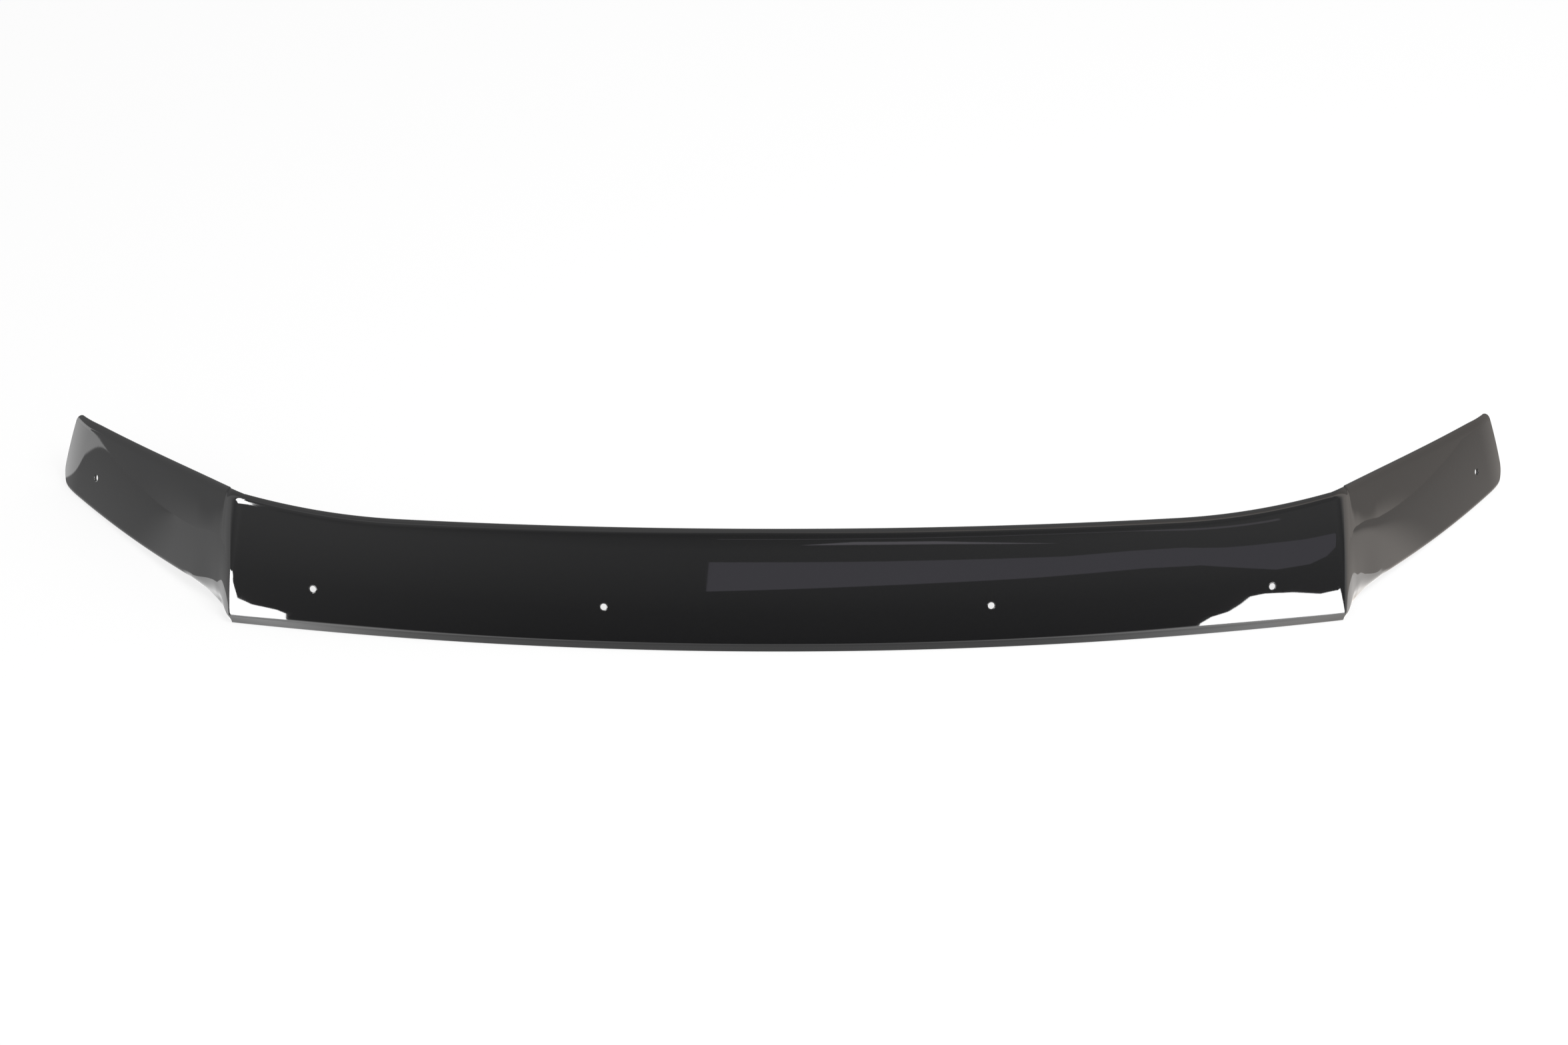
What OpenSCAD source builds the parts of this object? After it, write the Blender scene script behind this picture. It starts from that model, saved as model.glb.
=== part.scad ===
// Hood deflector: one sheet of glossy black acrylic, formed in one piece.
// A wide leaning face is folded at both ends into wings that sweep back.
// The sheet stands on the flange under its face and on the two wing tips.
// Millimetres. +Z is up, the front faces -Y, the origin is on the floor, at the footprint's middle.

/* [Sheet] */
// Thickness of the formed sheet
sheet_t = 3; // [2:0.25:4]

/* [Face] */
// Width of the face from fold to fold
face_w = 1026; // [900:2:1150]
// Height of the face at its middle, along its slope
face_h = 105; // [85:1:130]
// How much lower the face gets towards its ends
face_taper = 7.2; // [0:0.2:12]
// Height that the face gains again at each fold
flare_h = 17; // [0:0.5:24]
// Width of the flared stretch beside each fold
flare_w = 156; // [80:2:250]
// Radius of the face in plan
face_plan_r = 2890; // [2000:10:6000]
// Backward lean of the face from upright, in degrees
face_lean = 36; // [20:1:48]
// Outward bulge of the face between crease and lip
face_bulge = 2.5; // [1:0.25:5]

/* [Bottom flange] */
// Straight width of the flange below the crease
flange_w = 6; // [3:0.5:10]
// Turn of the sheet at the crease, in degrees
crease_turn = 36; // [15:1:50]
// Outer radius of the crease
crease_r = 5; // [4.5:0.25:9]

/* [Top lip] */
// Outer radius of the lip that rolls back along the top
lip_r = 12; // [6:0.5:16]
// Turn of the lip, in degrees
lip_turn = 48; // [20:1:60]

/* [Folds] */
// Outer radius of each fold beside the flange
fold_r = 5; // [4.5:0.25:9]
// Outer radius of each fold at its top, where it flows into the lip
fold_top_r = 28; // [9:1:40]
// Plan heading of a wing where it leaves its fold, in degrees
wing_turn = 47.5; // [35:0.5:60]
// Lean of a fold inwards towards its top, in degrees
fold_fan = 3; // [0:0.5:6]

/* [Wings] */
// Length of a wing along its foot, fold to tip
wing_l = 296.8; // [220:0.2:380]
// Height of a wing at its tip, along its slope
tip_h = 69; // [55:1:95]
// How far a wing narrows at mid-length
wing_waist = 2.4; // [0:0.2:6]
// Plan heading of a wing before its tip curl, in degrees
tip_turn = 51.6; // [40:0.2:65]
// Backward lean of a wing at its tip, in degrees
tip_lean = 22.3; // [10:0.1:34]
// Plan direction of that lean, in degrees from straight back
tip_lean_dir = 45.7; // [20:0.1:60]
// Turn of the curl at a wing's end, in degrees
curl_turn = 10; // [0:1:25]
// Length of that curl
curl_l = 30; // [15:1:60]
// Radius of a tip's lower corner
tip_low_r = 20; // [5:1:30]
// Radius of a tip's upper corner
tip_top_r = 7; // [2:0.5:15]

/* [Wing foot] */
// Step up of a wing's lower edge, along the slope
foot_step = 17.3; // [0:0.1:24]
// Length over which the step rises
foot_step_l = 68; // [30:1:90]
// How fast the step fades towards the tip
foot_step_fade = 2; // [1:0.1:3]
// Straight width that is left of the flange along a wing
foot_w = 1; // [0.5:0.25:4]
// Length over which the flange narrows to that
foot_fade_l = 10; // [6:1:40]
// Outer radius of the crease where it fans out beside the fold
fan_r = 30; // [8:0.5:36]
// Length over which the crease fans out, from the fold
fan_grow_l = 20; // [12:1:40]
// Where along the wing the fan narrows again, from and to
fan_end = [26, 64];
// Outer radius of the crease at the tip
foot_tip_r = 6; // [4.5:0.5:10]
// Outward bulge of a wing at its tip
tip_bulge = 1; // [0.5:0.1:3]

/* [Screw holes] */
// Diameter of every hole
hole_d = 6; // [4:0.5:8]
// Places of the holes across the face
face_hole_x = [-435, -169, 183, 443];
// Height of the face's holes above the crease
face_hole_up = 31; // [20:1:50]
// Distance of the left and the right wing's hole from its tip
tip_hole_in = [59, 49];
// Height of the wings' holes above the foot bend
tip_hole_up = 27; // [15:1:35]

/* [Hidden] */
// Facets of a bore, and how far its cutter runs past both faces of the sheet
bore_fn = 48;
bore_over = 2;
// Steps of the mesh: half the face, a fold, a wing, then crease, slope and lip of the section
face_steps = 13;
fold_steps = 5;
wing_steps = 30;
crease_steps = 5;
slope_steps = 7;
lip_steps = 5;
// Smallest radius of an offset line inside a fold
fold_min_r = 0.3;
face_half = face_w / 2;
section_n = crease_steps + slope_steps + lip_steps + 2;
ring_n = 2 * section_n;

function unit(v) = v / norm(v);
function mix(a, b, k) = a + (b - a) * k;
function ease(k) = k <= 0 ? 0 : k >= 1 ? 1 : k * k * (3 - 2 * k);
function sinc(a) = abs(a) < 0.001 ? 1 : sin(a) / (a * PI / 180);
// Plan step along an arc of length l whose heading goes from a to b
function arc_step(l, a, b) = l * sinc((b - a) / 2) * [cos((a + b) / 2), sin((a + b) / 2), 0];
// Unit vector up the slope of a sheet that leans back by lean, towards the plan direction az
function up_slope(lean, az) = [-sin(lean) * sin(az), sin(lean) * cos(az), cos(lean)];
// Outward normal of a sheet with plan heading a and slope vector up
function outward(a, up) = unit(cross([cos(a), sin(a), 0], up));

// Section of the sheet: [height, width, foot radius, bulge] -> points [up, out, slope angle].
// It runs from the flange's free edge over the crease and the slope to the lip.
function half_bulge(h, bulge) = 4 * bulge / h * 180 / PI;
function slope_h(sec) =
    let (b = half_bulge(sec[0], sec[3])) sec[0] - lip_r * (sin(b + lip_turn) - sin(b));
function slope_r(sec) = slope_h(sec) / (2 * sin(half_bulge(sec[0], sec[3])));
function arc_pt(r, a, a0) = [r * (sin(a) - sin(a0)), r * (cos(a) - cos(a0)), a];
function section_pt(sec, j) =
    let (b = half_bulge(sec[0], sec[3]), e = -b - crease_turn, i = j - 1 - crease_steps)
    j == 0 ? arc_pt(sec[2], e, -b) - sec[1] * [cos(e), -sin(e), 0]
    : i < 0 ? arc_pt(sec[2], mix(e, -b, (j - 1) / crease_steps), -b)
    : i < slope_steps ? arc_pt(slope_r(sec), mix(-b, b, i / slope_steps), -b)
    : [slope_h(sec), 0, 0] + arc_pt(lip_r, b + lip_turn * (i - slope_steps) / lip_steps, b);
// The same section on the inner side, one sheet thickness behind
function inner_pt(p) = [p[0] - sheet_t * sin(p[2]), p[1] - sheet_t * cos(p[2]), p[2]];
function ring_pt(sec, k) =
    k < section_n ? section_pt(sec, k) : inner_pt(section_pt(sec, ring_n - 1 - k));

// Face: a plan arc whose crease is at height zero until the sheet is put on the floor
function face_height(x) =
    face_h - face_taper * pow(x / face_half, 2)
    + flare_h * pow(max(0, (abs(x) - face_half + flare_w) / flare_w), 2);
function face_section(x) = [face_height(x), flange_w, crease_r, face_bulge];
function face_heading(x) = asin(x / face_plan_r);
face_up = up_slope(face_lean, 0);
function face_foot(x) = [x, face_plan_r * (1 - cos(face_heading(x))), 0];
function place(foot, up, out, p) = foot + p[0] * up + p[1] * out;
function face_pt(x, p) = place(face_foot(x), face_up, outward(face_heading(x), face_up), p);

// Fold: the face and the wing meet at an apex line in the face's end plane that leans inwards by
// fold_fan. Its rounding grows from fold_r at the foot to fold_top_r at the lip.
apex = face_foot(face_half);
fold_in = sin(face_lean) * sin(fold_fan);
fold_line = face_up - fold_in * [1, tan(face_heading(face_half)), 0];
fold_up = unit(fold_line);
fold_n0 = outward(face_heading(face_half), face_up);
fold_n1 = outward(wing_turn, fold_up);
function fold_angle(n) = acos(fold_n0 * n);
function fold_mid(n) = unit(fold_n0 + n) / cos(fold_angle(n) / 2);
function fold_out(k, n) =
    let (a = fold_angle(n)) (sin((1 - k) * a) * fold_n0 + sin(k * a) * n) / sin(a);
// Normal that the twisting wing has beside the fold, at a height up the slope. Before it is made a
// unit vector, its length is how fast the wing there leaves the fold.
function fold_leave(up) = cross(wing_line(1) - wing_line(0) + up * (wing_up(1) - wing_up(0)), fold_up);
function fold_end(up) = unit(fold_leave(up));
// Point p of the section, whose height is h, at the share k of the fold
function fold_pt(k, p, h) =
    let (n = fold_end(p[0]), mid = fold_mid(n), out = fold_out(k, n),
         r = mix(fold_r, fold_top_r, ease(p[0] / h)), dr = max(p[1], fold_min_r - r))
    apex + r * (out - mid) + fold_up * (p[0] + r * (mid[2] - out[2]) / fold_up[2])
    + fold_mid(fold_n1) * (p[1] - dr) + fold_out(k, fold_n1) * dr;

// Wing: s runs along the foot from the fold to the tip. The foot comes down by tip_drop, so that
// the tip's lower edge is level with the flange's.
straight_l = wing_l - curl_l;
fold_h = face_height(face_half) * norm(fold_line);
start_lean = acos(fold_up[2]);
start_lean_dir = atan2(-fold_up[0], fold_up[1]);
function wing_heading(s) =
    s < straight_l ? mix(wing_turn, tip_turn, s / straight_l)
    : tip_turn + curl_turn * (s - straight_l) / curl_l;
function wing_up(s) =
    up_slope(mix(start_lean, tip_lean, s / wing_l), mix(start_lean_dir, tip_lean_dir, s / wing_l));
function wing_height(s) =
    let (t = s / wing_l) mix(fold_h, tip_h, t) - 4 * wing_waist * t * (1 - t);
function wing_bulge(s) = mix(face_bulge, tip_bulge, s / wing_l);
// Radius of the crease, without and with its fan, and how far the foot line rises for step and fan
function plain_foot_r(s) = mix(crease_r, foot_tip_r, s / wing_l);
function fan_share(s) =
    ease(s / fan_grow_l) * (1 - ease((s - fan_end[0]) / (fan_end[1] - fan_end[0])));
function foot_r(s) = mix(plain_foot_r(s), fan_r, fan_share(s));
function foot_rise(s) =
    let (b = half_bulge(wing_height(s), wing_bulge(s)))
    foot_step * ease(s / foot_step_l) * pow(max(0, 1 - s / wing_l), foot_step_fade)
    + (foot_r(s) - plain_foot_r(s)) * (sin(b + crease_turn) - sin(b));
function wing_line(s) =
    apex - [0, 0, tip_drop * s / wing_l]
    + arc_step(min(s, straight_l), wing_turn, wing_heading(min(s, straight_l)))
    + arc_step(max(0, s - straight_l), tip_turn, wing_heading(max(s, straight_l)));
function wing_foot(s) = wing_line(s) + foot_rise(s) * wing_up(s);
stand_s = wing_l - tip_low_r;
flange_edge = face_pt(0, section_pt(face_section(0), 0));
tip_edge = place(foot_rise(stand_s) * wing_up(stand_s), wing_up(stand_s), wing_out(stand_s),
                 section_pt(wing_section(stand_s), 0));
tip_drop = (tip_edge[2] - flange_edge[2]) * wing_l / stand_s;
// How far the fold's rounding reaches from the apex line, and where the plain wing starts
fold_reach = (fold_top_r + sheet_t) * tan(fold_angle(fold_end(fold_h)) / 2);
wing_from = fold_reach / norm(fold_leave(fold_h));
function wing_section(s) =
    [wing_height(s) - foot_rise(s), mix(foot_w, flange_w, exp(-s / foot_fade_l)), foot_r(s),
     wing_bulge(s)];
function wing_out(s) = outward(wing_heading(s), wing_up(s));
function wing_pt(s, p) = place(wing_foot(s), wing_up(s), wing_out(s), p);
// Length along the section at the tip, and what the rounded corners take off there
tip_section = wing_section(wing_l);
function section_gap(sec, j) =
    let (d = section_pt(sec, j) - section_pt(sec, j - 1)) norm([d[0], d[1]]);
tip_gaps = [0, for (j = [1:section_n - 1]) section_gap(tip_section, j)];
function sum_to(v, i) = i < 0 ? 0 : v[i] + sum_to(v, i - 1);
tip_along = [for (j = [0:section_n - 1]) sum_to(tip_gaps, j)];
tip_girth = tip_along[section_n - 1];
function corner_cut(r, w) = w < r ? r - sqrt(r * r - (r - w) * (r - w)) : 0;
function wing_end(j) =
    wing_l - corner_cut(tip_low_r, tip_along[j]) - corner_cut(tip_top_r, tip_girth - tip_along[j]);

// Rings of the right half, from the middle of the face to the tip of the wing. The height crosses
// the fold on a parabola that leaves face and wing along their own slopes.
fold_x = face_half - fold_reach - face_height(face_half) * fold_in;
function face_ring(i) =
    let (x = i * fold_x / face_steps, sec = face_section(x))
    [for (k = [0:ring_n - 1]) face_pt(x, ring_pt(sec, k))];
fold_crown = (face_height(fold_x) - face_height(fold_x - 1) + wing_height(wing_from)
              - wing_height(wing_from + 1)) * (face_half - fold_x + wing_from) / 8;
function fold_height(k) =
    mix(face_height(fold_x) * norm(fold_line), wing_height(wing_from), k)
    + 4 * k * (1 - k) * fold_crown;
function fold_ring(i) =
    let (share = i / fold_steps, h = fold_height(share), sec = [h, flange_w, crease_r, face_bulge])
    [for (k = [0:ring_n - 1]) fold_pt(share, ring_pt(sec, k), h)];
function wing_ring(i) =
    let (u = (1 - cos(180 * i / wing_steps)) / 2)
    [for (k = [0:ring_n - 1])
        let (s = mix(wing_from, wing_end(min(k, ring_n - 1 - k)), u))
        wing_pt(s, ring_pt(wing_section(s), k))];
right_half = [for (i = [0:face_steps]) face_ring(i),
              for (i = [0:fold_steps]) fold_ring(i),
              for (i = [0:wing_steps]) wing_ring(i)];
function mirrored(ring) = [for (p = ring) [-p[0], p[1], p[2]]];
half_n = len(right_half);
rings = [for (i = [half_n - 1:-1:1]) mirrored(right_half[i]), for (ring = right_half) ring];
skin_pts = [for (ring = rings) each ring];
depths = [for (p = skin_pts) p[1]];
heights = [for (p = skin_pts) p[2]];
floor_middle = [0, (min(depths) + max(depths)) / 2, min(heights)];

// Closed skin: quads between neighbouring rings, and a strip that closes each end
function quad(a, b, c, d) = [[a, b, c], [a, c, d]];
function skin_faces(n) =
    [for (i = [0:n - 2], k = [0:ring_n - 1])
        let (a = i * ring_n, b = a + ring_n, m = (k + 1) % ring_n)
        each quad(a + k, a + m, b + m, b + k)];
function end_faces(first, flip) =
    [for (j = [0:section_n - 2])
        let (a = first + j, b = a + 1, c = first + ring_n - 2 - j, d = c + 1)
        each flip ? quad(d, c, b, a) : quad(a, b, c, d)];
module formed_sheet() {
    n = len(rings);
    polyhedron(
        points = skin_pts,
        faces = concat(skin_faces(n), end_faces(0, true), end_faces((n - 1) * ring_n, false)),
        convexity = 6);
}

// A point on the outer slope at a height above the crease, and the sheet's true normal there
function slope_point(sec, up) =
    let (b = half_bulge(sec[0], sec[3]), a = asin(up / slope_r(sec) - sin(b)))
    arc_pt(slope_r(sec), a, -b);
function on_face(x, up) = face_pt(x, slope_point(face_section(x), up));
function on_wing(s, up) = wing_pt(s, slope_point(wing_section(s), up));
function face_normal(x, up) =
    unit(cross(on_face(x + 1, up) - on_face(x - 1, up), on_face(x, up + 1) - on_face(x, up - 1)));
function wing_normal(s, up) =
    unit(cross(on_wing(s + 1, up) - on_wing(s - 1, up), on_wing(s, up + 1) - on_wing(s, up - 1)));

module bore(at, dir) {
    translate(at)
        rotate([0, acos(dir[2]), atan2(dir[1], dir[0])])
            translate([0, 0, -sheet_t - bore_over])
                cylinder(d = hole_d, h = sheet_t + 2 * bore_over, $fn = bore_fn);
}
module face_bores() {
    for (x = face_hole_x) bore(on_face(x, face_hole_up), face_normal(x, face_hole_up));
}
module wing_bore(inset) {
    s = wing_l - inset;
    bore(on_wing(s, tip_hole_up), wing_normal(s, tip_hole_up));
}

module shield() {
    color([0.05, 0.05, 0.06])
        translate(-floor_middle)
            difference() {
                formed_sheet();
                face_bores();
                mirror([1, 0, 0]) wing_bore(tip_hole_in[0]);
                wing_bore(tip_hole_in[1]);
            }
}
shield();
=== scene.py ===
"""Looks of a formed black acrylic hood deflector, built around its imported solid.

The sheet is laid out as a flat blank with its screw holes cut and its edges rounded. A Geometry
Nodes tree then forms the blank: crease and flange below, rolled lip above, a fold at each end of
the face, and the wings behind them. Blank sizes are millimetres and radians until the tree's last
step, which stands the sheet on the floor and turns it to metres.
"""

import logging
import math
from collections.abc import Sequence
from dataclasses import dataclass, field, fields
from enum import Enum

import bpy
import numpy as np
from mathutils import Matrix, Vector


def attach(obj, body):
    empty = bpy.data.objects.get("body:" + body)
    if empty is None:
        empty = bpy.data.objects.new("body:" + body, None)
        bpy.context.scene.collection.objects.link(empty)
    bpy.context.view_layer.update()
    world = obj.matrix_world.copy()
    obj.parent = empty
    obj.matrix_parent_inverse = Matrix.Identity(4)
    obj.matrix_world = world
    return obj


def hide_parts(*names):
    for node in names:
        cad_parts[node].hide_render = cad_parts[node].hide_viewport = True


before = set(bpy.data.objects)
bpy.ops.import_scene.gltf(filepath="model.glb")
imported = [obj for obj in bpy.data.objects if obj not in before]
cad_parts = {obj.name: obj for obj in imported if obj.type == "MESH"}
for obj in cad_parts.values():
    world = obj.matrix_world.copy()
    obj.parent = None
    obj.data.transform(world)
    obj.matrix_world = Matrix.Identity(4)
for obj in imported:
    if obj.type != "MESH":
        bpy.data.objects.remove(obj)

LOG = logging.getLogger("hood_deflector")
MM = 0.001


class Wire:
    """An output socket of a node tree. Python's operators on it add the nodes of the sum."""

    def __init__(self, bench: "NodeBench", socket: bpy.types.NodeSocket) -> None:
        """Wraps a socket.

        Args:
            bench: The bench whose tree holds the socket.
            socket: The output socket.
        """
        self.bench = bench
        self.socket = socket

    @property
    def is_vector(self) -> bool:
        """Whether the socket carries a vector or a colour."""
        return self.socket.type in {"VECTOR", "RGBA"}

    def __add__(self, other: "Operand") -> "Wire":
        """Adds other."""
        return self.bench.calc("ADD", self, other)

    def __radd__(self, other: "Operand") -> "Wire":
        """Adds to other."""
        return self.bench.calc("ADD", other, self)

    def __sub__(self, other: "Operand") -> "Wire":
        """Takes other away."""
        return self.bench.calc("SUBTRACT", self, other)

    def __rsub__(self, other: "Operand") -> "Wire":
        """Takes this away from other."""
        return self.bench.calc("SUBTRACT", other, self)

    def __mul__(self, other: "Operand") -> "Wire":
        """Multiplies by other."""
        return self.bench.calc("MULTIPLY", self, other)

    def __rmul__(self, other: "Operand") -> "Wire":
        """Multiplies other."""
        return self.bench.calc("MULTIPLY", other, self)

    def __truediv__(self, other: "Operand") -> "Wire":
        """Divides by other."""
        return self.bench.calc("DIVIDE", self, other)

    def __pow__(self, power: "Operand") -> "Wire":
        """Raises to a power."""
        return self.bench.calc("POWER", self, power)

    def __neg__(self) -> "Wire":
        """Turns the sign."""
        return self.bench.calc("MULTIPLY", self, -1.0)

    def __abs__(self) -> "Wire":
        """Drops the sign."""
        return self.bench.calc("ABSOLUTE", self)

    def sine(self) -> "Wire":
        """The sine of an angle in radians."""
        return self.bench.calc("SINE", self)

    def cosine(self) -> "Wire":
        """The cosine of an angle in radians."""
        return self.bench.calc("COSINE", self)

    def arcsine(self) -> "Wire":
        """The angle in radians with this sine."""
        return self.bench.calc("ARCSINE", self)

    def arccosine(self) -> "Wire":
        """The angle in radians with this cosine."""
        return self.bench.calc("ARCCOSINE", self)

    def sign(self) -> "Wire":
        """Minus one, zero or one."""
        return self.bench.calc("SIGN", self)

    def at_least(self, low: "Operand") -> "Wire":
        """The larger of this and low."""
        return self.bench.calc("MAXIMUM", self, low)

    def at_most(self, high: "Operand") -> "Wire":
        """The smaller of this and high."""
        return self.bench.calc("MINIMUM", self, high)

    def within(self, low: "Operand", high: "Operand") -> "Wire":
        """This, kept from low to high."""
        return self.at_least(low).at_most(high)

    def eased(self) -> "Wire":
        """A smooth step of this as it goes from 0 to 1."""
        part = self.within(0.0, 1.0)
        return part * part * (3.0 - 2.0 * part)

    def stepped(self, start: "Operand", length: "Operand") -> "Wire":
        """A smooth step from 0 to 1 as this goes from start through a length, which may be negative."""
        return ((self - start) / length).eased()

    def above(self, limit: "Operand") -> "Wire":
        """1 where this is more than limit, otherwise 0."""
        return self.bench.calc("GREATER_THAN", self, limit)

    def dot(self, other: "Operand") -> "Wire":
        """The dot product with other."""
        return self.bench.calc("DOT_PRODUCT", self, other)

    def cross(self, other: "Operand") -> "Wire":
        """The cross product with other."""
        return self.bench.calc("CROSS_PRODUCT", self, other)

    def unit(self) -> "Wire":
        """This vector at length one."""
        return self.bench.calc("NORMALIZE", self)

    def parts(self) -> tuple["Wire", "Wire", "Wire"]:
        """The three numbers of this vector."""
        split = self.bench.node("ShaderNodeSeparateXYZ", {}, {0: self})
        return tuple(Wire(self.bench, socket) for socket in split.outputs)


Operand = Wire | float | Sequence[float]
Settings = dict[str, object]
Plugs = dict[str | int, Operand]
Corners = Sequence[tuple[float, float, float]]


class NodeBench:
    """Adds nodes to one tree."""

    def __init__(self, tree: bpy.types.NodeTree) -> None:
        """Starts on a tree.

        Args:
            tree: The node tree that the nodes go into.
        """
        self.tree = tree

    def node(self, kind: str, settings: Settings, plugs: Plugs) -> bpy.types.Node:
        """Adds a node.

        Args:
            kind: The node's type.
            settings: Its settings, set before its sockets. "stops" are a ramp's (position, grey) pairs.
            plugs: Values or wires of its inputs, by socket name or number.

        Returns:
            The node.
        """
        made = self.tree.nodes.new(kind)
        for name, value in settings.items():
            if name == "stops":
                stops = made.color_ramp.elements
                stops.remove(stops[1])
                stops[0].position = value[0][0]
                for position, grey in value:
                    stop = stops[0] if position == value[0][0] else stops.new(position)
                    stop.color = (grey, grey, grey, 1.0)
            else:
                setattr(made, name, value)
        for key, value in plugs.items():
            if isinstance(value, Wire):
                self.tree.links.new(value.socket, made.inputs[key])
            else:
                made.inputs[key].default_value = value
        return made

    def wire(self, kind: str, settings: Settings, plugs: Plugs, out: str | int = 0) -> Wire:
        """Adds a node and hands on one of its outputs.

        Args:
            kind: The node's type.
            settings: Its settings.
            plugs: Values or wires of its inputs.
            out: Name or number of the output.

        Returns:
            That output.
        """
        return Wire(self, self.node(kind, settings, plugs).outputs[out])

    def calc(self, operation: str, *values: Operand) -> Wire:
        """Adds a Math node, or a Vector Math node where a value is a vector.

        Args:
            operation: The node's operation.
            values: Its operands.

        Returns:
            The result.
        """
        flat = all(isinstance(v, (int, float)) or (isinstance(v, Wire) and not v.is_vector) for v in values)
        if flat:
            return self.wire("ShaderNodeMath", {"operation": operation}, dict(enumerate(values)))
        spread = [(v, v, v) if isinstance(v, (int, float)) else v for v in values]
        out = 1 if operation == "DOT_PRODUCT" else 0
        return self.wire("ShaderNodeVectorMath", {"operation": operation}, dict(enumerate(spread)), out)

    def vector(self, x: Operand, y: Operand, z: Operand) -> Wire:
        """A vector of three numbers."""
        return self.wire("ShaderNodeCombineXYZ", {}, {0: x, 1: y, 2: z})


def between(low: Operand, high: Operand, share: Operand) -> Operand:
    """The value at a share of the way from low to high."""
    return low + (high - low) * share


def degrees(value: float) -> float:
    """A dataclass field that holds an angle in degrees."""
    return field(default=value, metadata={"angle": True})


def empty_tree(owner: bpy.types.Material | bpy.types.World) -> NodeBench:
    """Empties a node tree.

    Args:
        owner: The material or world that the tree belongs to.

    Returns:
        A bench on the tree.
    """
    owner.use_nodes = True
    owner.node_tree.nodes.clear()
    return NodeBench(owner.node_tree)


def link(name: str, data: bpy.types.ID) -> bpy.types.Object:
    """Adds an object to the scene.

    Args:
        name: Its name.
        data: Its mesh, light or camera.

    Returns:
        The object.
    """
    made = bpy.data.objects.new(name, data)
    bpy.context.scene.collection.objects.link(made)
    return made


class Side(Enum):
    """The two ends of the sheet, as signs of X."""

    LEFT = -1
    RIGHT = 1


@dataclass(frozen=True)
class Section:
    """Section of the sheet at one place, in millimetres and radians."""

    height: float
    flange: float
    foot_r: float
    bulge: float
    lip_r: float
    lip_turn: float
    crease_turn: float

    @property
    def half_bulge(self) -> float:
        """Angle that the slope turns through from its middle to either end."""
        return 4 * self.bulge / self.height

    @property
    def slope_r(self) -> float:
        """Radius of the bulging slope."""
        rise = math.sin(self.half_bulge + self.lip_turn) - math.sin(self.half_bulge)
        return (self.height - self.lip_r * rise) / (2 * math.sin(self.half_bulge))

    @property
    def slope_length(self) -> float:
        """Length of the slope along its arc."""
        return 2 * self.half_bulge * self.slope_r

    @property
    def crease_length(self) -> float:
        """Length of the crease along its arc."""
        return self.foot_r * self.crease_turn

    @property
    def lip_length(self) -> float:
        """Length of the lip along its arc."""
        return self.lip_r * self.lip_turn

    def along(self, up: float) -> float:
        """Length along the slope to a straight height above the crease."""
        bend = self.half_bulge
        return self.slope_r * (math.asin(up / self.slope_r - math.sin(bend)) + bend)


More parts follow.
